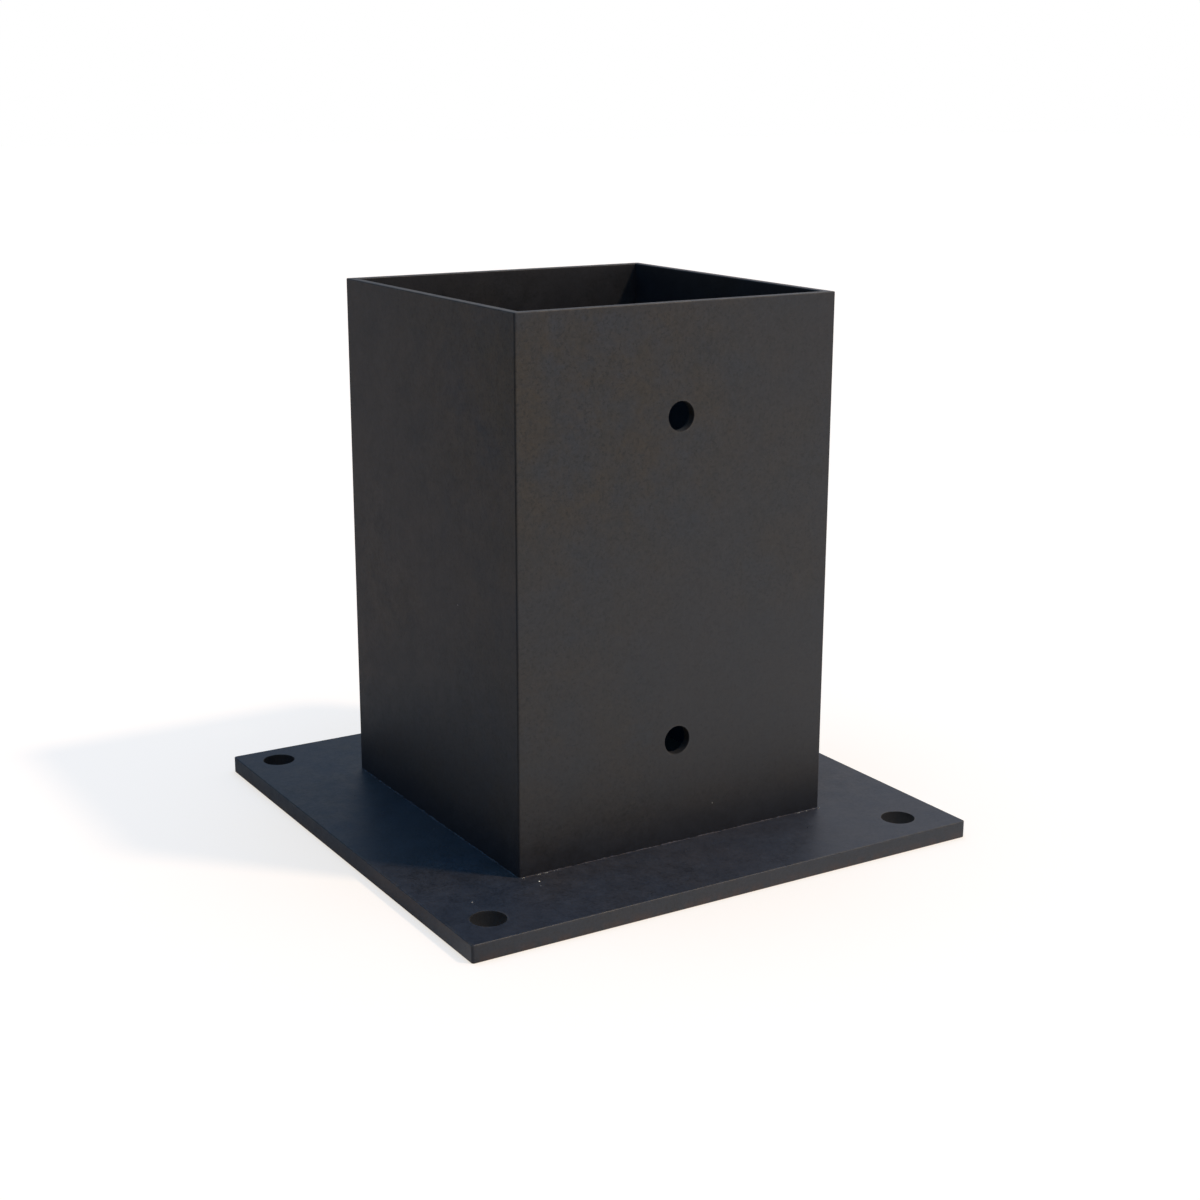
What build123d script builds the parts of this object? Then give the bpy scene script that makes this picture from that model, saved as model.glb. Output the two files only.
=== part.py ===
from build123d import *
import os

# Timber post base: a square sleeve of welded steel plates, upright on a drilled foot plate.
# Sizes are in millimetres. The origin is the centre of the foot plate's underside, and +Z is up.
# The two drilled walls, where cross bolts go through the post, look along -Y (front) and +Y (back).

# Foot plate
plate_width = 160.0
plate_depth = 160.0
plate_thickness = 5.0
plate_corner_radius = 0.8
plate_edge_radius = 0.3

# Anchor holes: the pattern sits a little off the plate's middle, so each side has its own margin
anchor_hole_diameter = 9.5
anchor_from_left = 11.0
anchor_from_right = 15.0
anchor_from_front = 12.0
anchor_from_back = 10.0

# Sleeve, measured over the outside of its walls, and above the foot plate
sleeve_width = 100.0
sleeve_depth = 100.0
sleeve_height = 150.0
wall = 2.5
sleeve_corner_radius = 0.5
rim_radius = 0.3

# Cross-bolt holes
bolt_hole_diameter = 8.0
lower_bolt_above_plate = 30.0
upper_bolt_below_rim = 30.0

# Every drilled hole is deburred with a light chamfer at both mouths
hole_chamfer = 0.1

# The foot weld shows outside as a hairline bead, slightly rounded over
foot_weld_leg = 0.4
foot_weld_rounding = 0.3

# Places worked out from the sizes above
plate_top = plate_thickness
inner_width = sleeve_width - 2 * wall
inner_depth = sleeve_depth - 2 * wall
wall_middle_x = (sleeve_width - wall) / 2
wall_middle_y = (sleeve_depth - wall) / 2
lower_bolt_height = plate_top + lower_bolt_above_plate
upper_bolt_height = plate_top + sleeve_height - upper_bolt_below_rim
anchor_spacing_x = plate_width - anchor_from_left - anchor_from_right
anchor_spacing_y = plate_depth - anchor_from_front - anchor_from_back
anchor_centre_x = (anchor_from_left - anchor_from_right) / 2
anchor_centre_y = (anchor_from_front - anchor_from_back) / 2

os.makedirs("parts", exist_ok=True)

# Foot plate: sheared square, four anchor holes, and all its edges broken
with BuildPart() as base_plate:
    with BuildSketch():
        RectangleRounded(plate_width, plate_depth, plate_corner_radius)
        with Locations((anchor_centre_x, anchor_centre_y)):
            with GridLocations(anchor_spacing_x, anchor_spacing_y, 2, 2):
                Circle(anchor_hole_diameter / 2, mode=Mode.SUBTRACT)
    extrude(amount=plate_thickness)
    faces = base_plate.faces().filter_by(Axis.Z)
    hole_mouths = [edge for face in faces for wire in face.inner_wires() for edge in wire.edges()]
    chamfer(hole_mouths, hole_chamfer)
    faces = base_plate.faces().filter_by(Axis.Z)
    fillet([edge for face in faces for edge in face.outer_wire().edges()], plate_edge_radius)
base_plate.part.label = "base_plate"
export_step(base_plate.part, "parts/base_plate.step")

# Front and back walls: each fits between the corner welds and carries both cross-bolt holes
for name, side in (("front_wall", -1), ("back_wall", 1)):
    with BuildPart() as drilled_wall:
        with BuildSketch(Plane.XY.offset(plate_top)):
            with Locations((0, side * wall_middle_y)):
                Rectangle(inner_width, wall)
        extrude(amount=sleeve_height)
        with BuildSketch(Plane.XZ.offset(-side * wall_middle_y)):
            with Locations((0, lower_bolt_height), (0, upper_bolt_height)):
                Circle(bolt_hole_diameter / 2)
        extrude(amount=wall, both=True, mode=Mode.SUBTRACT)
        chamfer(drilled_wall.edges().filter_by(GeomType.CIRCLE), hole_chamfer)
        rim_face = drilled_wall.faces().sort_by(Axis.Z)[-1]
        fillet(rim_face.edges().filter_by(Axis.X), rim_radius)
    drilled_wall.part.label = name
    export_step(drilled_wall.part, f"parts/{name}.step")

# Left and right walls: plain plates, as wide as the gap between the corner welds
for name, side in (("left_wall", -1), ("right_wall", 1)):
    with BuildPart() as plain_wall:
        with BuildSketch(Plane.XY.offset(plate_top)):
            with Locations((side * wall_middle_x, 0)):
                Rectangle(wall, inner_depth)
        extrude(amount=sleeve_height)
        rim_face = plain_wall.faces().sort_by(Axis.Z)[-1]
        fillet(rim_face.edges().filter_by(Axis.Y), rim_radius)
    plain_wall.part.label = name
    export_step(plain_wall.part, f"parts/{name}.step")

# Corner welds: the walls meet only at their inner edges, and weld metal fills the open corner.
# Each weld is dressed flush with both walls, down to a small arris and a rim edge like theirs.
for front_or_back, side_y in (("front", -1), ("back", 1)):
    for left_or_right, side_x in (("left", -1), ("right", 1)):
        name = f"corner_weld_{front_or_back}_{left_or_right}"
        with BuildPart() as corner_weld:
            with BuildSketch(Plane.XY.offset(plate_top)):
                with Locations((side_x * wall_middle_x, side_y * wall_middle_y)):
                    Rectangle(wall, wall)
            extrude(amount=sleeve_height)
            arris = corner_weld.edges().filter_by(Axis.Z).sort_by_distance((0, 0, plate_top))[-1]
            fillet(arris, sleeve_corner_radius)
            rim_face = corner_weld.faces().sort_by(Axis.Z)[-1]
            outer_rim = rim_face.edges().sort_by_distance((0, 0, plate_top + sleeve_height))[-3:]
            fillet(outer_rim, rim_radius)
        corner_weld.part.label = name
        export_step(corner_weld.part, f"parts/{name}.step")

# Foot weld: one fine bead round the outside of the sleeve, where it stands on the foot plate
with BuildPart() as foot_weld:
    with BuildSketch(Plane.XY.offset(plate_top)):
        RectangleRounded(
            sleeve_width + 2 * foot_weld_leg,
            sleeve_depth + 2 * foot_weld_leg,
            sleeve_corner_radius + foot_weld_leg,
        )
        RectangleRounded(sleeve_width, sleeve_depth, sleeve_corner_radius, mode=Mode.SUBTRACT)
    extrude(amount=foot_weld_leg)
    bead_top = foot_weld.faces().sort_by(Axis.Z)[-1]
    fillet(bead_top.outer_wire().edges(), foot_weld_rounding)
foot_weld.part.label = "foot_weld"
export_step(foot_weld.part, "parts/foot_weld.step")
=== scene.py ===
import math
import random

import bpy
from mathutils import Matrix, Vector, noise


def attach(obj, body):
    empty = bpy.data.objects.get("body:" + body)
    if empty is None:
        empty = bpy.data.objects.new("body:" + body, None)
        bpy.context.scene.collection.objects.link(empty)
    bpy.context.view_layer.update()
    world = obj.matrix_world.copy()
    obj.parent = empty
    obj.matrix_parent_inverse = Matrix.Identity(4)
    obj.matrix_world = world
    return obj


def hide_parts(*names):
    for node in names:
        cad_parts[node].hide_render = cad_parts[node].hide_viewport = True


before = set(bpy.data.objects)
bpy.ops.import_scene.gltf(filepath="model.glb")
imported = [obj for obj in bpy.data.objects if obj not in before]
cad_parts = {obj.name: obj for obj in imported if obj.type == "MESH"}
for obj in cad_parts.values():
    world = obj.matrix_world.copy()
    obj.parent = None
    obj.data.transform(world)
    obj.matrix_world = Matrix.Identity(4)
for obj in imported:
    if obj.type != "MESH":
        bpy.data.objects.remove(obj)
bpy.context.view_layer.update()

# Camera, found from the corners of the object in the photograph (metres)
CAMERA_PLACE = (-0.27948, -0.46449, 0.20963)
CAMERA_RIGHT = (0.85258, -0.52260, 0.00262)
CAMERA_DOWN = (-0.13400, -0.22345, -0.96546)
CAMERA_FORWARD = (0.50513, 0.82278, -0.26053)
CAMERA_LENS = 57.502
CAMERA_SENSOR = 36.0

# Key lamp: the way its light travels, its strength, colour and apparent size
KEY_TRAVEL = (-0.532, 0.543, -1.0)
KEY_STRENGTH = 1.88
KEY_COLOUR = (1.0, 0.75, 0.53)
KEY_SIZE = 5.0

# The surroundings are brighter on the key lamp's side, which this direction on the floor points to
LAMP_SIDE = (0.70, -0.714, 0.0)

# Sky, as it lights the object: a faint glow round the horizon, and blue overhead
SKY_LOW = (0.045, 0.030, 0.030)
SKY_TOP = (0.38, 1.44, 3.15)
SKY_RISE = (0.68, 0.99)

# Backdrop, as gloss shows it: white round the horizon, and a pale blue ceiling
WHITE = (1.0, 1.0, 1.0)
HORIZON_FAR_SIDE = (0.210, 0.222, 0.235)
HORIZON_LAMP_SIDE = (1.34, 1.20, 1.16)
CEILING_FAR_SIDE = (0.16, 0.20, 0.24)
CEILING_LAMP_SIDE = (1.35, 1.55, 1.60)
CEILING_RISE = (0.35, 0.95)
BACKDROP_SPAN = 0.6

# Window, a blue part of the backdrop behind the object, that shows in the gloss of its flat top faces
WINDOW_SIDE = (0.523, 0.852, 0.0)
WINDOW_SPAN = (0.92, 0.55)
WINDOW_COLOUR = (0.52, 0.92, 1.52)
WINDOW_RISE = (0.30, 0.95)

# Floor: its colour away from the lamp and towards it, as it lights the object; painted light, darker away from the
# lamp and lighter towards it, for light that falls off across the floor
FLOOR_HALF = 6.0
FLOOR_FAR_SIDE = 0.55
FLOOR_LAMP_SIDE = 1.1
FLOOR_SIDE_SPAN = 0.25
FLOOR_TINT = (1.0, 0.95, 0.85)

# Floor as the camera and gloss see it: a glow that keeps it white, under a faint shadow of the object
FLOOR_SEEN_GLOW = (0.830, 0.745, 0.622)
FLOOR_SEEN_COLOUR = (0.36, 0.34, 0.32)
FLOOR_CONTACT_REACH = 0.10
FLOOR_CONTACT_DEPTH = 0.25
FLOOR_GLOSS_COLOUR = (0.45, 0.36, 0.25)
FLOOR_GLOSS_SPAN = 0.03
FLOOR_GLOSS_FAR_SIDE = (0.215, 0.143, 0.108)
FLOOR_GLOSS_LAMP_SIDE = (1.10, 1.08, 1.06)

# A dark flag stands on the floor on this side, and shows only in gloss, as a dark line on the near arris
FLAG_SIDE = (-0.852, -0.523, 0.0)
FLAG_SPAN = (0.90, 0.45)
FLAG_REACH = (0.20, 0.13)
FLAG_DEPTH = 0.95

# Sizes of the CAD model that the looks follow (metres)
PLATE_HALF = 0.080
PLATE_TOP = 0.005
SLEEVE_HALF = 0.050
SLEEVE_INSIDE = 0.0476
SLEEVE_ARRIS = 0.0005
RIM = 0.155
BOLT_HOLE_RADIUS = 0.004
BOLT_HOLES_MIDDLE = 0.080
BOLT_HOLES_APART = 0.045
ANCHOR_HOLE_RADIUS = 0.00475
HOLE_CHAMFER = 0.0001
ANCHOR_MIDDLE = (-0.002, 0.001)
ANCHOR_APART = (0.067, 0.069)

# Coating: its black drifts from a cool tint to a warm one, which is the third one where it is coarse
SLEEVE_TINTS = ((0.0262, 0.0260, 0.0259), (0.0300, 0.0268, 0.0241), (0.0362, 0.0278, 0.0180))
# The plate's tints are bluer than the sleeve's: painted light, the blue of the sky that falls on its top
PLATE_SKY_BLUED_TINTS = ((0.0254, 0.0282, 0.0326), (0.0305, 0.0290, 0.0298), (0.0345, 0.0290, 0.0240))
COAT_ROUGHNESS = 0.45
COAT_SPECULAR = 0.28
CLOUD_SIZE = 0.018
CLOUD_DEPTH = 1.2
CLOUD_USUAL_SWING = 0.25
MOTTLE_SIZE = 0.007
GRAIN_SIZE = 0.0009
MOTTLE_DEPTH = 1.9
MOTTLE_ROUGHNESS = 0.75
MOTTLE_HEIGHT = 0.000055
GRAIN_DEPTH = 1.1
GRAIN_HEIGHT = 0.000010
# Painted shade: inside the sleeve the coat's colour is scaled down by these, for the shade in the socket
SLEEVE_INSIDE_SHADE = (0.66, 0.76, 0.88)
PLATE_INSIDE_SHADE = (0.50, 0.30, 0.18)
# Painted shade: the coat is painted darker and bluer towards the foot of the sleeve's walls, and in the middle of
# the plate inside the sleeve
FOOT_SHADE_COLOUR = (0.0110, 0.0150, 0.0220)
FOOT_SHADE_REACH = 0.014
FOOT_SHADE_DEPTH = 0.75
# Painted shade: the bores' colour is scaled down by these, for the shade in the holes
BOLT_BORE_SHADE = 0.25
ANCHOR_BORE_SHADE = 0.30
BOLT_BORE_ROUGHNESS = 0.35
ANCHOR_BORE_ROUGHNESS = 0.25
# Painted reflection: a dark line along the vertical arrises, where the coat is painted darker; it is also rougher
# there
ARRIS_WIDTH = 0.0008
ARRIS_SHADE_DEPTH = 0.35
ARRIS_ROUGHNESS = 0.15

# Where the coat is coarser: round a place at the top of the front wall, and in faint patches elsewhere
COARSE_PLACE = (-0.032, -0.050, 0.135)
COARSE_REACH = (0.0, 0.100)
PATCH_SIZE = 0.060
PATCH_DEPTH = 0.45
SLEEVE_SMOOTH = 0.38
PLATE_SMOOTH = 0.50

# Specks: small dark flecks in the coat, where a fine noise is highest
SPECK_COLOUR = (0.008, 0.008, 0.008)
SPECK_SIZE = 0.0008
SPECK_SPAN = (0.70, 0.52)
SPECK_DEPTH = 0.65

# Wear: a coat rubbed thin along the edges, and a little rust at the foot plate's underside
RUBBED_COLOUR = (0.066, 0.056, 0.044)
RUB_WIDTH = 0.0009
RUB_DEPTH = 0.45
RUST_COLOUR = (0.075, 0.040, 0.026)
RUST_WIDTH = 0.0030
RUST_DEPTH = 0.50
WEAR_BREAK_SIZE = 0.0035

# Worn weld metal, on the drops that glint
WORN_DARK = (0.05, 0.05, 0.05)
WORN_BRIGHT = (0.42, 0.42, 0.41)
WORN_ROUGHNESS = (0.42, 0.26)
WORN_PATCH_SIZE = 0.0006
WORN_HEIGHT = 0.00001

# Foot bead: a hairline of weld round the sleeve's foot, uneven in size
# Its coat is painted lighter than the rest: a painted highlight along the seam
BEAD_HIGHLIGHT_TINTS = ((0.070, 0.064, 0.066), (0.082, 0.074, 0.071), (0.082, 0.074, 0.071))
BEAD_SPECULAR = 0.10
BEAD_LEG = 0.00016
BEAD_LEG_MOST = 0.0004
BEAD_LEG_LEAST = 0.2
BEAD_UNEVEN = 1.1
BEAD_STEP = 0.00025
BEAD_SUNK = 0.00006
BEAD_ARC_STEPS = 5
BEAD_CORNER_STEPS = 6
BEAD_LUMP_SIZES = (0.0011, 0.0042)

# Weld drops that glint, as (place, way up, radius, height as a share of the radius)
SEEN_DROPS = (
    ((-0.0464, -0.0543, PLATE_TOP), (0, 0, 1), 0.00042, 0.8),
    ((-0.0474, -0.0570, PLATE_TOP), (0, 0, 1), 0.00018, 0.6),
    ((-0.0679, -0.0571, PLATE_TOP), (0, 0, 1), 0.00030, 0.8),
    ((-0.0492, -0.0502, PLATE_TOP), (0, 0, 1), 0.00022, 0.6),
    ((-0.0487, -0.0502, PLATE_TOP), (0, 0, 1), 0.00026, 0.6),
    ((-0.0447, -0.0502, PLATE_TOP), (0, 0, 1), 0.00018, 0.6),
    ((-0.0442, -0.0502, PLATE_TOP), (0, 0, 1), 0.00022, 0.6),
    ((-0.0438, -0.0502, PLATE_TOP), (0, 0, 1), 0.00018, 0.6),
    ((-0.0422, -0.0502, PLATE_TOP), (0, 0, 1), 0.00026, 0.6),
    ((-0.0417, -0.0502, PLATE_TOP), (0, 0, 1), 0.00028, 0.6),
    ((-0.0394, -0.0502, PLATE_TOP), (0, 0, 1), 0.00020, 0.6),
    ((-0.0384, -0.0502, PLATE_TOP), (0, 0, 1), 0.00018, 0.6),
    ((0.0425, -0.0502, PLATE_TOP), (0, 0, 1), 0.00024, 0.6),
    ((0.0430, -0.0502, PLATE_TOP), (0, 0, 1), 0.00028, 0.6),
    ((0.0456, -0.0502, PLATE_TOP), (0, 0, 1), 0.00024, 0.6),
    ((0.0503, -0.0502, PLATE_TOP), (0, 0, 1), 0.00020, 0.6),
    ((0.0122, -SLEEVE_HALF, 0.0141), (0, -1, 0), 0.00016, 0.6),
    ((-SLEEVE_HALF, -0.0171, 0.0728), (-1, 0, 0), 0.00020, 0.6),
)
DROP_SEED = 11
DROP_COUNT = 36
DROP_REACH = 0.012
DROP_RADII = (0.00010, 0.00022)
DROP_RINGS = 4
DROP_SIDES = 12
DROP_UNEVEN = 0.18
DROP_SUNK = 0.00008


def add_camera():
    data = bpy.data.cameras.new("photo_camera")
    data.lens = CAMERA_LENS
    data.sensor_width = CAMERA_SENSOR
    data.clip_start = 0.01
    data.clip_end = 50.0
    camera = bpy.data.objects.new("photo_camera", data)
    right = Vector(CAMERA_RIGHT)
    up = -Vector(CAMERA_DOWN)
    back = -Vector(CAMERA_FORWARD)
    camera.matrix_world = Matrix(
        (
            (right.x, up.x, back.x, CAMERA_PLACE[0]),
            (right.y, up.y, back.y, CAMERA_PLACE[1]),
            (right.z, up.z, back.z, CAMERA_PLACE[2]),
            (0.0, 0.0, 0.0, 1.0),
        )
    )
    bpy.context.scene.collection.objects.link(camera)
    bpy.context.scene.camera = camera


def add_key_lamp():
    data = bpy.data.lights.new("key", "SUN")
    data.energy = KEY_STRENGTH
    data.color = KEY_COLOUR
    data.angle = math.radians(KEY_SIZE)
    lamp = bpy.data.objects.new("key", data)
    lamp.rotation_mode = "QUATERNION"
    lamp.rotation_quaternion = Vector(KEY_TRAVEL).to_track_quat("-Z", "Y")
    bpy.context.scene.collection.objects.link(lamp)


def link(tree, source, target):
    tree.links.new(source, target)


def towards(tree, vector, side):
    """How far a vector goes towards a side."""
    node = tree.nodes.new("ShaderNodeVectorMath")
    node.operation = "DOT_PRODUCT"
    node.inputs[1].default_value = side
    link(tree, vector, node.inputs[0])
    return node.outputs["Value"]


def lamp_side(tree, vector, span):
    """A factor from 0 to 1, as a vector goes from away from the lamp to towards it."""
    return fading(tree, towards(tree, vector, LAMP_SIDE), span, -span, 1.0)


def mixed(tree, factor, first, second):
    mix = tree.nodes.new("ShaderNodeMixShader")
    link(tree, factor, mix.inputs[0])
    link(tree, first, mix.inputs[1])
    link(tree, second, mix.inputs[2])
    return mix.outputs[0]


def gloss_or_glass(tree, path):
    either = tree.nodes.new("ShaderNodeMath")
    either.operation = "MAXIMUM"
    link(tree, path.outputs["Is Glossy Ray"], either.inputs[0])
    link(tree, path.outputs["Is Transmission Ray"], either.inputs[1])
    return either.outputs[0]


def background(tree, colour=None, strength=1.0):
    shader = tree.nodes.new("ShaderNodeBackground")
    shader.inputs["Color"].default_value = (*WHITE, 1.0)
    shader.inputs["Strength"].default_value = strength
    if colour is not None:
        link(tree, colour, shader.inputs["Color"])
    return shader


def set_world():
    world = bpy.data.worlds.new("soft_sky")
    bpy.context.scene.world = world
    world.use_nodes = True
    tree = world.node_tree
    tree.nodes.clear()
    place = tree.nodes.new("ShaderNodeTexCoord")
    parts = tree.nodes.new("ShaderNodeSeparateXYZ")
    link(tree, place.outputs["Generated"], parts.inputs[0])
    direction = place.outputs["Generated"]
    height = parts.outputs["Z"]
    low = fading(tree, height, *SKY_RISE, 1.0)
    sky = background(tree, mixed_colour(tree, low, SKY_TOP, SKY_LOW))
    side = lamp_side(tree, direction, BACKDROP_SPAN)
    horizon = mixed_colour(tree, side, HORIZON_FAR_SIDE, HORIZON_LAMP_SIDE)
    ceiling = mixed_colour(tree, side, CEILING_FAR_SIDE, CEILING_LAMP_SIDE)
    low = fading(tree, height, *CEILING_RISE, 1.0)
    colour = mixed_colour(tree, low, ceiling, horizon)
    window = fading(tree, towards(tree, direction, WINDOW_SIDE), *WINDOW_SPAN, 1.0)
    window = value_node(tree, "MULTIPLY", window, fading(tree, height, *reversed(WINDOW_RISE), 1.0))
    backdrop = background(tree, mixed_colour(tree, window, colour, WINDOW_COLOUR))
    plain = background(tree)
    path = tree.nodes.new("ShaderNodeLightPath")
    shown = mixed(tree, gloss_or_glass(tree, path), sky.outputs[0], backdrop.outputs[0])
    shown = mixed(tree, path.outputs["Is Camera Ray"], shown, plain.outputs[0])
    out = tree.nodes.new("ShaderNodeOutputWorld")
    link(tree, shown, out.inputs["Surface"])


def scaled_colour(tree, colour, level):
    node = tree.nodes.new("ShaderNodeVectorMath")
    node.operation = "SCALE"
    if isinstance(colour, tuple):
        node.inputs[0].default_value = colour
    else:
        link(tree, colour, node.inputs[0])
    link(tree, level, node.inputs["Scale"])
    return node.outputs[0]


def floor_material():
    material = bpy.data.materials.new("pale_floor")
    material.use_nodes = True
    tree = material.node_tree
    tree.nodes.clear()
    place = tree.nodes.new("ShaderNodeTexCoord").outputs["Object"]
    # painted light: the floor's colour is darker away from the lamp and lighter towards it
    side = lamp_side(tree, place, FLOOR_SIDE_SPAN)
    level = between(tree, side, FLOOR_FAR_SIDE, FLOOR_LAMP_SIDE)
    lit = tree.nodes.new("ShaderNodeBsdfDiffuse")
    link(tree, scaled_colour(tree, FLOOR_TINT, level), lit.inputs["Color"])

    path = tree.nodes.new("ShaderNodeLightPath")
    in_gloss = gloss_or_glass(tree, path)
    side = lamp_side(tree, place, FLOOR_GLOSS_SPAN)
    glow_in_gloss = mixed_colour(tree, side, FLOOR_GLOSS_FAR_SIDE, FLOOR_GLOSS_LAMP_SIDE)
    glow_in_gloss = scaled_colour(tree, glow_in_gloss, flag_shade(tree, place))
    near = tree.nodes.new("ShaderNodeAmbientOcclusion")
    near.samples = 2
    near.inputs["Distance"].default_value = FLOOR_CONTACT_REACH
    seen_glow = between(tree, near.outputs["AO"], 1.0 - FLOOR_CONTACT_DEPTH, 1.0)
    seen_glow = scaled_colour(tree, FLOOR_SEEN_GLOW, seen_glow)
    glow = tree.nodes.new("ShaderNodeEmission")
    link(tree, mixed_colour(tree, in_gloss, seen_glow, glow_in_gloss), glow.inputs["Color"])
    shade = tree.nodes.new("ShaderNodeBsdfDiffuse")
    link(tree, mixed_colour(tree, in_gloss, FLOOR_SEEN_COLOUR, FLOOR_GLOSS_COLOUR), shade.inputs["Color"])
    seen = tree.nodes.new("ShaderNodeAddShader")
    link(tree, shade.outputs[0], seen.inputs[0])
    link(tree, glow.outputs[0], seen.inputs[1])

    shows_background = value_node(tree, "MAXIMUM", path.outputs["Is Camera Ray"], in_gloss)
    shown = mixed(tree, shows_background, lit.outputs[0], seen.outputs[0])
    out = tree.nodes.new("ShaderNodeOutputMaterial")
    link(tree, shown, out.inputs["Surface"])
    return material


def flag_shade(tree, place):
    """A factor of 1, less on the dark flag's side."""
    away = tree.nodes.new("ShaderNodeVectorMath")
    away.operation = "LENGTH"
    link(tree, place, away.inputs[0])
    direction = tree.nodes.new("ShaderNodeVectorMath")
    direction.operation = "NORMALIZE"
    link(tree, place, direction.inputs[0])
    flag = fading(tree, towards(tree, direction.outputs[0], FLAG_SIDE), *FLAG_SPAN, FLAG_DEPTH)
    flag = value_node(tree, "MULTIPLY", flag, fading(tree, away.outputs["Value"], *FLAG_REACH, 1.0))
    return value_node(tree, "SUBTRACT", 1.0, flag)


def add_floor():
    mesh = bpy.data.meshes.new("floor")
    side = FLOOR_HALF
    corners = [(-side, -side, 0.0), (side, -side, 0.0), (side, side, 0.0), (-side, side, 0.0)]
    mesh.from_pydata(corners, [], [(0, 1, 2, 3)])
    floor = bpy.data.objects.new("floor", mesh)
    bpy.context.scene.collection.objects.link(floor)
    mesh.materials.append(floor_material())


def value_node(tree, operation, first, second=None, third=None):
    """A Math node, whose values may each be a socket or a number."""
    node = tree.nodes.new("ShaderNodeMath")
    node.operation = operation
    for socket, value in zip(node.inputs, (first, second, third)):
        if value is None:
            continue
        if isinstance(value, (int, float)):
            socket.default_value = value
        else:
            link(tree, value, socket)
    return node.outputs[0]


def distance(tree, first, second):
    squares = [value_node(tree, "MULTIPLY", value, value) for value in (first, second)]
    return value_node(tree, "SQRT", value_node(tree, "ADD", *squares))


def fading(tree, value, start, end, depth):
    """A factor that falls from depth to nothing as a value goes from start to end."""
    node = tree.nodes.new("ShaderNodeMapRange")
    node.interpolation_type = "SMOOTHSTEP"
    node.inputs["From Min"].default_value = start
    node.inputs["From Max"].default_value = end
    node.inputs["To Min"].default_value = depth
    node.inputs["To Max"].default_value = 0.0
    link(tree, value, node.inputs["Value"])
    return node.outputs[0]


def noise_value(tree, place, size, detail, roughness, offset=0.0):
    moved = tree.nodes.new("ShaderNodeVectorMath")
    moved.operation = "ADD"
    moved.inputs[1].default_value = (offset, offset, offset)
    link(tree, place, moved.inputs[0])
    node = tree.nodes.new("ShaderNodeTexNoise")
    node.inputs["Scale"].default_value = 1.0 / size
    node.inputs["Detail"].default_value = detail
    node.inputs["Roughness"].default_value = roughness
    link(tree, moved.outputs[0], node.inputs["Vector"])
    return node.outputs["Fac"]


def mixed_colour(tree, factor, first, second):
    node = tree.nodes.new("ShaderNodeMix")
    node.data_type = "RGBA"
    link(tree, factor, node.inputs["Factor"])
    for socket, colour in ((node.inputs["A"], first), (node.inputs["B"], second)):
        if isinstance(colour, tuple):
            socket.default_value = (*colour, 1.0)
        else:
            link(tree, colour, socket)
    return node.outputs["Result"]


def coarseness(tree, place, smooth):
    """How coarse the coat is at a point, up to 1."""
    away = tree.nodes.new("ShaderNodeVectorMath")
    away.operation = "DISTANCE"
    away.inputs[1].default_value = COARSE_PLACE
    link(tree, place, away.inputs[0])
    near = fading(tree, away.outputs["Value"], *COARSE_REACH, 1.0)
    patches = fading(tree, noise_value(tree, place, PATCH_SIZE, 1.0, 0.5, 2.3), 0.62, 0.40, PATCH_DEPTH)
    return between(tree, value_node(tree, "MAXIMUM", near, patches), smooth, 1.0)


def swing_of(tree, value, coarse):
    """How far a noise is from its middle, less where the coat is smooth."""
    return value_node(tree, "MULTIPLY", value_node(tree, "SUBTRACT", value, 0.5), coarse)


def specks(tree, place, coarse):
    flecks = fading(tree, noise_value(tree, place, SPECK_SIZE, 2.0, 0.6, 6.4), *SPECK_SPAN, SPECK_DEPTH)
    return value_node(tree, "MULTIPLY", flecks, coarse)


def off_middle(tree, value, middle, apart):
    """How far a value is beyond a place on either side of a middle."""
    side = value_node(tree, "ABSOLUTE", value_node(tree, "SUBTRACT", value, middle))
    return value_node(tree, "SUBTRACT", side, apart)


def sleeve_shape(tree, x, y, z):
    """How far a point is from the sleeve's nearest edge, its arrises, its bolt holes' bores and its foot."""
    from_sides = [value_node(tree, "MULTIPLY", off_middle(tree, value, 0.0, SLEEVE_HALF), -1.0) for value in (x, y)]
    from_arris = value_node(tree, "MAXIMUM", *from_sides)
    from_rim = value_node(tree, "SUBTRACT", RIM, z)
    across = off_middle(tree, z, BOLT_HOLES_MIDDLE, BOLT_HOLES_APART)
    from_bore = value_node(tree, "SUBTRACT", distance(tree, x, across), BOLT_HOLE_RADIUS)
    from_mouth = value_node(tree, "MAXIMUM", value_node(tree, "ABSOLUTE", from_bore), from_sides[1])
    nearest = value_node(tree, "MINIMUM", from_rim, from_mouth)
    return nearest, from_arris, from_bore, value_node(tree, "SUBTRACT", z, PLATE_TOP)


def plate_shape(tree, x, y, z):
    """How far a point is from the foot plate's nearest upper edge, its corners, its bores and its middle."""
    from_top = value_node(tree, "SUBTRACT", PLATE_TOP, z)
    sides = [value_node(tree, "ABSOLUTE", value) for value in (x, y)]
    widest = value_node(tree, "MAXIMUM", *sides)
    from_side = value_node(tree, "SUBTRACT", PLATE_HALF, widest)
    from_corner = value_node(tree, "SUBTRACT", PLATE_HALF, value_node(tree, "MINIMUM", *sides))
    offsets = [off_middle(tree, *place) for place in zip((x, y), ANCHOR_MIDDLE, ANCHOR_APART)]
    from_bore = value_node(tree, "SUBTRACT", distance(tree, *offsets), ANCHOR_HOLE_RADIUS)
    nearest = value_node(tree, "MINIMUM", from_side, value_node(tree, "ABSOLUTE", from_bore))
    return value_node(tree, "MAXIMUM", nearest, from_top), from_corner, from_bore, widest


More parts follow.
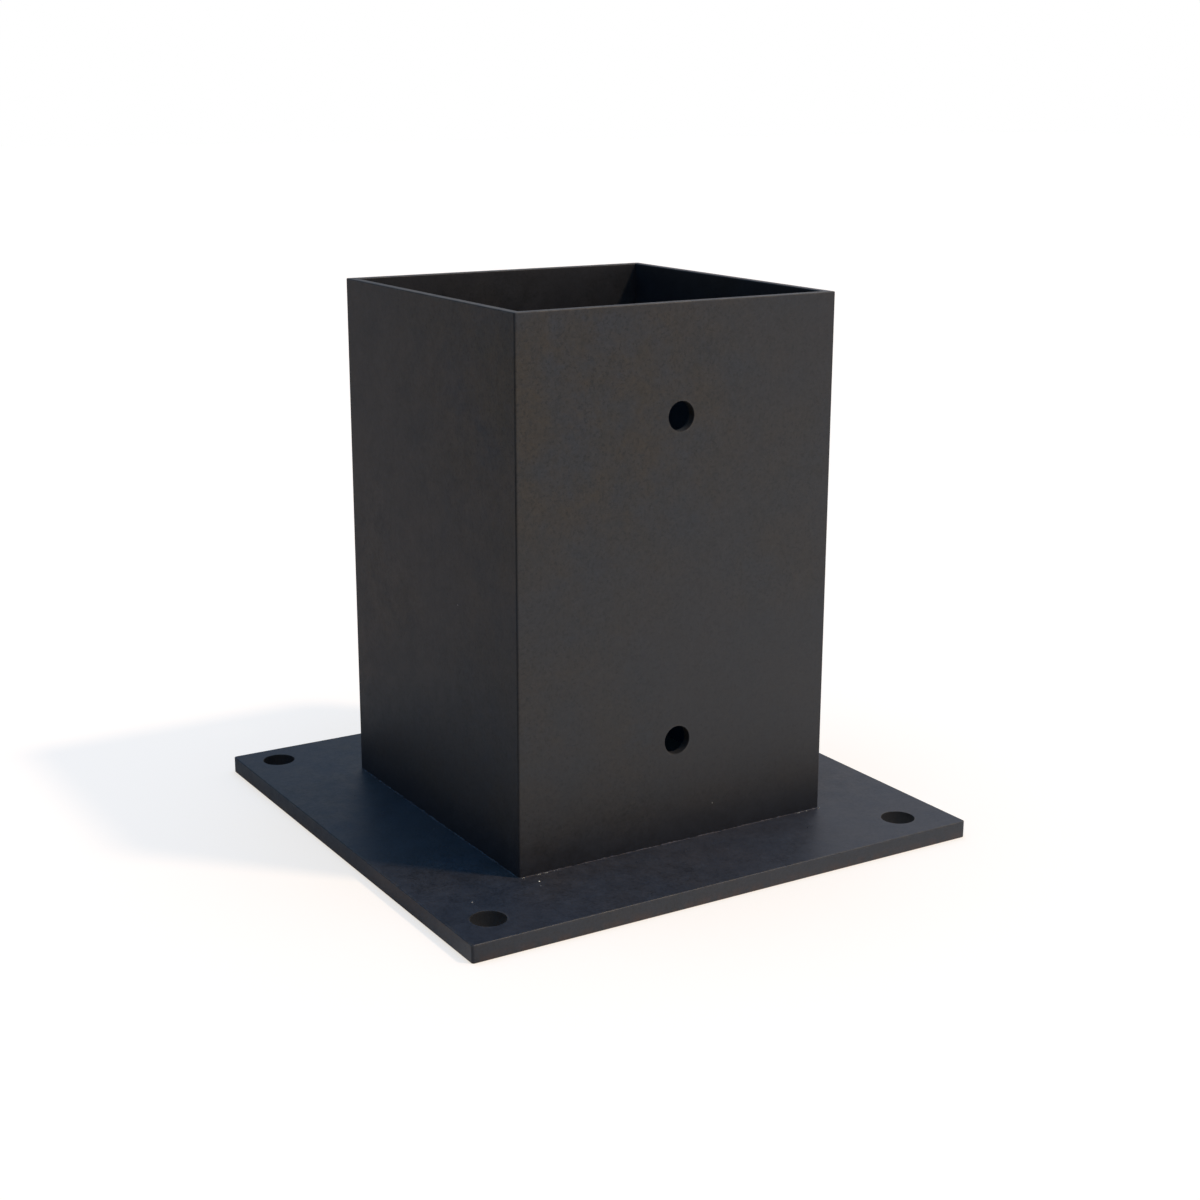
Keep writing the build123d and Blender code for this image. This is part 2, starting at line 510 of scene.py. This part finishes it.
def bump(tree, height, distance_up, normal=None):
    node = tree.nodes.new("ShaderNodeBump")
    node.inputs["Strength"].default_value = 1.0
    node.inputs["Distance"].default_value = distance_up
    link(tree, height, node.inputs["Height"])
    if normal is not None:
        link(tree, normal, node.inputs["Normal"])
    return node.outputs[0]


def between(tree, factor, low, high):
    """The value that a factor from 0 to 1 picks between two numbers."""
    return value_node(tree, "MULTIPLY_ADD", factor, high - low, low)


def coating(name, shape, tints, smooth, specular, bore_shade, bore_roughness, inside_shade):
    """The black coat. The shape function says how far a point is from edges and bores."""
    material = bpy.data.materials.new(name)
    material.use_nodes = True
    tree = material.node_tree
    shader = tree.nodes["Principled BSDF"]
    place = tree.nodes.new("ShaderNodeTexCoord").outputs["Object"]
    parts = tree.nodes.new("ShaderNodeSeparateXYZ")
    link(tree, place, parts.inputs[0])
    x, y, z = parts.outputs
    from_edge, from_arris, from_bore, from_foot = shape(tree, x, y, z)

    coarse = coarseness(tree, place, smooth)
    cloud = swing_of(tree, noise_value(tree, place, CLOUD_SIZE, 5.0, 0.7), coarse)
    swing = swing_of(tree, noise_value(tree, place, MOTTLE_SIZE, 4.0, 0.9, 3.7), coarse)
    grain = swing_of(tree, noise_value(tree, place, GRAIN_SIZE, 2.0, 0.7, 8.1), coarse)

    cloud = value_node(tree, "MULTIPLY_ADD", cloud, CLOUD_DEPTH / CLOUD_USUAL_SWING, 0.5)
    warmth = fading(tree, coarse, 1.0, smooth, 1.0)
    colour = mixed_colour(tree, cloud, tints[0], mixed_colour(tree, warmth, tints[1], tints[2]))
    colour = mixed_colour(tree, specks(tree, place, coarse), colour, SPECK_COLOUR)
    # painted shade: darker and bluer towards the sleeve's foot
    colour = mixed_colour(tree, fading(tree, from_foot, 0.0, FOOT_SHADE_REACH, FOOT_SHADE_DEPTH), colour, FOOT_SHADE_COLOUR)
    wear = fading(tree, noise_value(tree, place, WEAR_BREAK_SIZE, 3.0, 0.5, 1.9), 0.60, 0.40, 1.0)
    rub = value_node(tree, "MULTIPLY", wear, fading(tree, from_edge, 0.0, RUB_WIDTH, RUB_DEPTH))
    colour = mixed_colour(tree, rub, colour, RUBBED_COLOUR)
    rust = value_node(tree, "MULTIPLY", wear, fading(tree, z, 0.0, RUST_WIDTH, RUST_DEPTH))
    colour = mixed_colour(tree, rust, colour, RUST_COLOUR)

    widest = value_node(tree, "MAXIMUM", value_node(tree, "ABSOLUTE", x), value_node(tree, "ABSOLUTE", y))
    outside = value_node(tree, "GREATER_THAN", widest, SLEEVE_INSIDE)
    off_bore = value_node(tree, "GREATER_THAN", from_bore, HOLE_CHAMFER)
    level = value_node(tree, "MULTIPLY_ADD", swing, MOTTLE_DEPTH, 1.0)
    level = value_node(tree, "MULTIPLY_ADD", grain, GRAIN_DEPTH, level)
    # painted shade: darker in the bores
    level = value_node(tree, "MULTIPLY", level, between(tree, off_bore, bore_shade, 1.0))
    # painted dark reflection line along the vertical arrises
    arris = fading(tree, from_arris, 0.0, ARRIS_WIDTH, 1.0)
    level = value_node(tree, "MULTIPLY", level, between(tree, arris, 1.0, 1.0 - ARRIS_SHADE_DEPTH))
    # painted shade: inside the sleeve the colour is scaled down
    toned = tree.nodes.new("ShaderNodeVectorMath")
    toned.operation = "MULTIPLY"
    link(tree, scaled_colour(tree, colour, level), toned.inputs[0])
    link(tree, mixed_colour(tree, outside, inside_shade, WHITE), toned.inputs[1])
    link(tree, toned.outputs[0], shader.inputs["Base Color"])

    rough = value_node(tree, "MULTIPLY_ADD", swing, MOTTLE_ROUGHNESS, COAT_ROUGHNESS)
    rough = value_node(tree, "ADD", rough, between(tree, off_bore, bore_roughness, 0.0))
    rough = value_node(tree, "MULTIPLY_ADD", arris, ARRIS_ROUGHNESS, rough)
    link(tree, rough, shader.inputs["Roughness"])
    shader.inputs["Specular IOR Level"].default_value = specular
    link(tree, bump(tree, grain, GRAIN_HEIGHT, bump(tree, swing, MOTTLE_HEIGHT)), shader.inputs["Normal"])
    return material


def worn_metal():
    """Bare metal where the coat is rubbed off the tops of the weld drops."""
    material = bpy.data.materials.new("worn_weld_metal")
    material.use_nodes = True
    tree = material.node_tree
    shader = tree.nodes["Principled BSDF"]
    place = tree.nodes.new("ShaderNodeTexCoord").outputs["Object"]
    patches = noise_value(tree, place, WORN_PATCH_SIZE, 2.0, 0.5)
    link(tree, mixed_colour(tree, patches, WORN_DARK, WORN_BRIGHT), shader.inputs["Base Color"])
    link(tree, between(tree, patches, *WORN_ROUGHNESS), shader.inputs["Roughness"])
    shader.inputs["Metallic"].default_value = 1.0
    link(tree, bump(tree, patches, WORN_HEIGHT), shader.inputs["Normal"])
    return material


def dress_nodes(sleeve_coat, plate_coat):
    for name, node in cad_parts.items():
        node.data.materials.clear()
        node.data.materials.append(plate_coat if name == "base_plate" else sleeve_coat)


def new_piece(name, vertices, faces, material):
    mesh = bpy.data.meshes.new(name)
    mesh.from_pydata(vertices, [], faces)
    mesh.shade_smooth()
    mesh.materials.append(material)
    piece = bpy.data.objects.new(name, mesh)
    bpy.context.scene.collection.objects.link(piece)
    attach(piece, "root")
    return piece


def foot_line():
    """Points along the foot of the sleeve's outside, each with the direction that faces away from it."""
    line = []
    straight = SLEEVE_HALF - SLEEVE_ARRIS
    steps = round(2 * straight / BEAD_STEP)
    for side in range(4):
        angle = math.radians(90 * side)
        out = Vector((math.cos(angle), math.sin(angle), 0.0))
        along = Vector((-out.y, out.x, 0.0))
        for step in range(steps):
            line.append((out * SLEEVE_HALF + along * (2 * step / steps - 1) * straight, out))
        centre = (out + along) * straight
        for step in range(BEAD_CORNER_STEPS):
            turned = angle + math.radians(90) * step / BEAD_CORNER_STEPS
            away = Vector((math.cos(turned), math.sin(turned), 0.0))
            line.append((centre + away * SLEEVE_ARRIS, away))
    return line


def bead_leg(point):
    lumps = sum(noise.noise(point / size) for size in BEAD_LUMP_SIZES)
    return min(BEAD_LEG * max(1.0 + BEAD_UNEVEN * lumps, BEAD_LEG_LEAST), BEAD_LEG_MOST)


def add_foot_bead(material):
    vertices = []
    for point, out in foot_line():
        leg = bead_leg(point)
        section = [(-BEAD_SUNK, -BEAD_SUNK), (-BEAD_SUNK, leg)]
        for step in range(BEAD_ARC_STEPS + 1):
            angle = math.radians(90) * (1.0 - step / BEAD_ARC_STEPS)
            section.append((leg * math.cos(angle), leg * math.sin(angle)))
        section.append((leg, -BEAD_SUNK))
        for away, up in section:
            vertices.append(point + out * away + Vector((0.0, 0.0, PLATE_TOP + up)))
    count = BEAD_ARC_STEPS + 4
    rings = len(vertices) // count
    faces = []
    for ring in range(rings):
        for step in range(count):
            first = ring * count + step
            second = ring * count + (step + 1) % count
            third = (ring + 1) % rings * count + (step + 1) % count
            fourth = (ring + 1) % rings * count + step
            faces.append((first, fourth, third, second))
    bead = new_piece("foot_bead", vertices, faces, material)
    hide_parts("foot_weld")


def drop_mesh(place, up, radius, share, uneven):
    """A low uneven dome with a closed bottom a little under the surface that it sits on."""
    up = Vector(up).normalized()
    side = up.orthogonal().normalized()
    other = up.cross(side)
    vertices = [Vector(place) + up * radius * share]
    for ring in range(1, DROP_RINGS + 1):
        angle = math.radians(90) * ring / DROP_RINGS
        for step in range(DROP_SIDES):
            turn = math.radians(360) * step / DROP_SIDES
            reach = radius * math.sin(angle) * (1.0 + DROP_UNEVEN * uneven.uniform(-1.0, 1.0))
            sunk = DROP_SUNK if ring == DROP_RINGS else 0.0
            height = radius * share * math.cos(angle) - sunk
            vertices.append(Vector(place) + (side * math.cos(turn) + other * math.sin(turn)) * reach + up * height)
    faces = [(0, 1 + step, 1 + (step + 1) % DROP_SIDES) for step in range(DROP_SIDES)]
    for ring in range(DROP_RINGS - 1):
        for step in range(DROP_SIDES):
            first = 1 + ring * DROP_SIDES + step
            second = 1 + ring * DROP_SIDES + (step + 1) % DROP_SIDES
            faces.append((first, first + DROP_SIDES, second + DROP_SIDES, second))
    last = 1 + (DROP_RINGS - 1) * DROP_SIDES
    faces.append(tuple(last + step for step in reversed(range(DROP_SIDES))))
    return vertices, faces


def scattered_drops(chance):
    """Drops on the foot plate, round the sleeve's foot, with most of them close to it."""
    drops = []
    for _ in range(DROP_COUNT):
        side = chance.randrange(4)
        away = SLEEVE_HALF + DROP_RADII[1] + DROP_REACH * chance.random() ** 2
        along = chance.uniform(-SLEEVE_HALF, SLEEVE_HALF)
        x, y = ((away, along), (along, away), (-away, along), (along, -away))[side]
        drops.append(((x, y, PLATE_TOP), (0, 0, 1), chance.uniform(*DROP_RADII), chance.uniform(0.5, 0.8)))
    return drops


def add_drops(name, drops, material, chance):
    vertices = []
    faces = []
    for place, up, radius, share in drops:
        new_vertices, new_faces = drop_mesh(place, up, radius, share, chance)
        faces += [tuple(index + len(vertices) for index in face) for face in new_faces]
        vertices += new_vertices
    new_piece(name, vertices, faces, material)


add_camera()
add_key_lamp()
set_world()
add_floor()
bores = (BOLT_BORE_SHADE, BOLT_BORE_ROUGHNESS, SLEEVE_INSIDE_SHADE)
sleeve_coat = coating("black_coat_sleeve", sleeve_shape, SLEEVE_TINTS, SLEEVE_SMOOTH, COAT_SPECULAR, *bores)
bores = (ANCHOR_BORE_SHADE, ANCHOR_BORE_ROUGHNESS, PLATE_INSIDE_SHADE)
plate_coat = coating("black_coat_plate", plate_shape, PLATE_SKY_BLUED_TINTS, PLATE_SMOOTH, COAT_SPECULAR, *bores)
bead_coat = coating("black_coat_bead", plate_shape, BEAD_HIGHLIGHT_TINTS, PLATE_SMOOTH, BEAD_SPECULAR, *bores)
dress_nodes(sleeve_coat, plate_coat)
add_foot_bead(bead_coat)
chance = random.Random(DROP_SEED)
add_drops("bright_weld_drops", SEEN_DROPS, worn_metal(), chance)
add_drops("coated_weld_drops", scattered_drops(chance), plate_coat, chance)

bpy.context.scene.view_settings.view_transform = "Standard"
